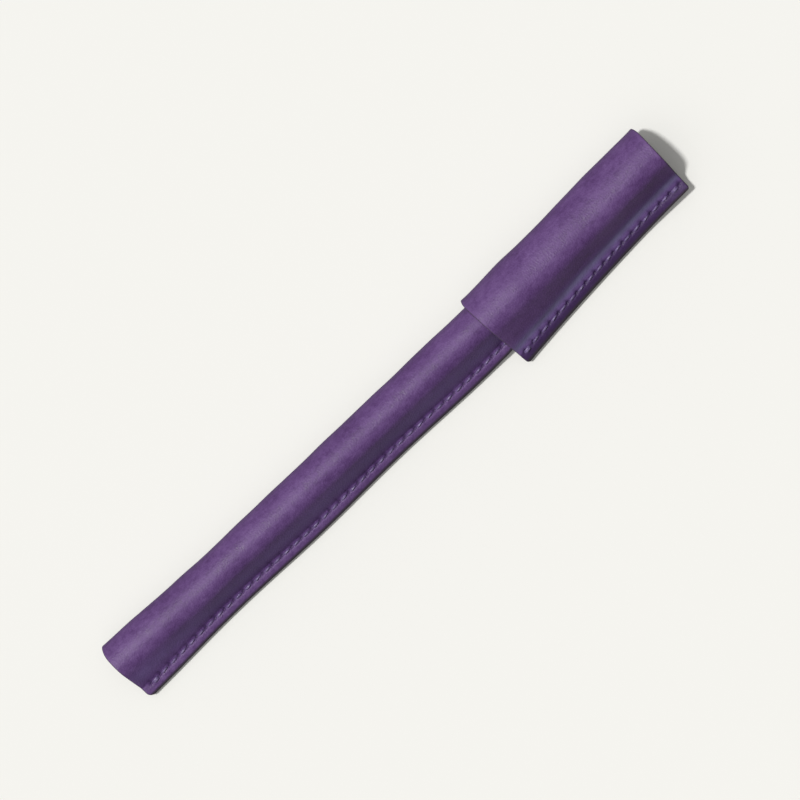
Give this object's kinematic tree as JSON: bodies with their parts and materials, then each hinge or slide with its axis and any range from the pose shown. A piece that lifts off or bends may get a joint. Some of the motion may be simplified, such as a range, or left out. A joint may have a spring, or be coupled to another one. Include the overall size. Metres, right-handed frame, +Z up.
{
  "type": "pen sleeve",
  "caption": "Slim leather sleeve for one pen: a folded, side-sewn tube closed at its lower end, with a wider sewn cap that slides off the open end.",
  "frame": {"origin": "middle of the footprint, on the surface that the sleeve lies on", "axes": "+X along the sleeve towards the cap, +Y towards the folded side, away from the seam, +Z up"},
  "size_m": [0.1712, 0.0218, 0.0136],
  "materials": {
    "dyed_leather": "satin purple pull-up leather",
    "sewing_thread": "waxed purple thread",
    "plug_leather": "dark burnished leather"
  },
  "bodies": {
    "sleeve": {"body_leather": "dyed_leather", "body_needle_thread": "sewing_thread", "body_bobbin_thread": "sewing_thread", "body_end_plug": "plug_leather"},
    "cap": {"cap_leather": "dyed_leather", "cap_needle_thread": "sewing_thread", "cap_bobbin_thread": "sewing_thread", "cap_end_plug": "plug_leather"}
  },
  "joints": [
    {"name": "cap_slide", "type": "slide", "parent": "sleeve", "child": "cap", "axis": [1, 0, 0], "range_m": [0, 0.03]}
  ]
}
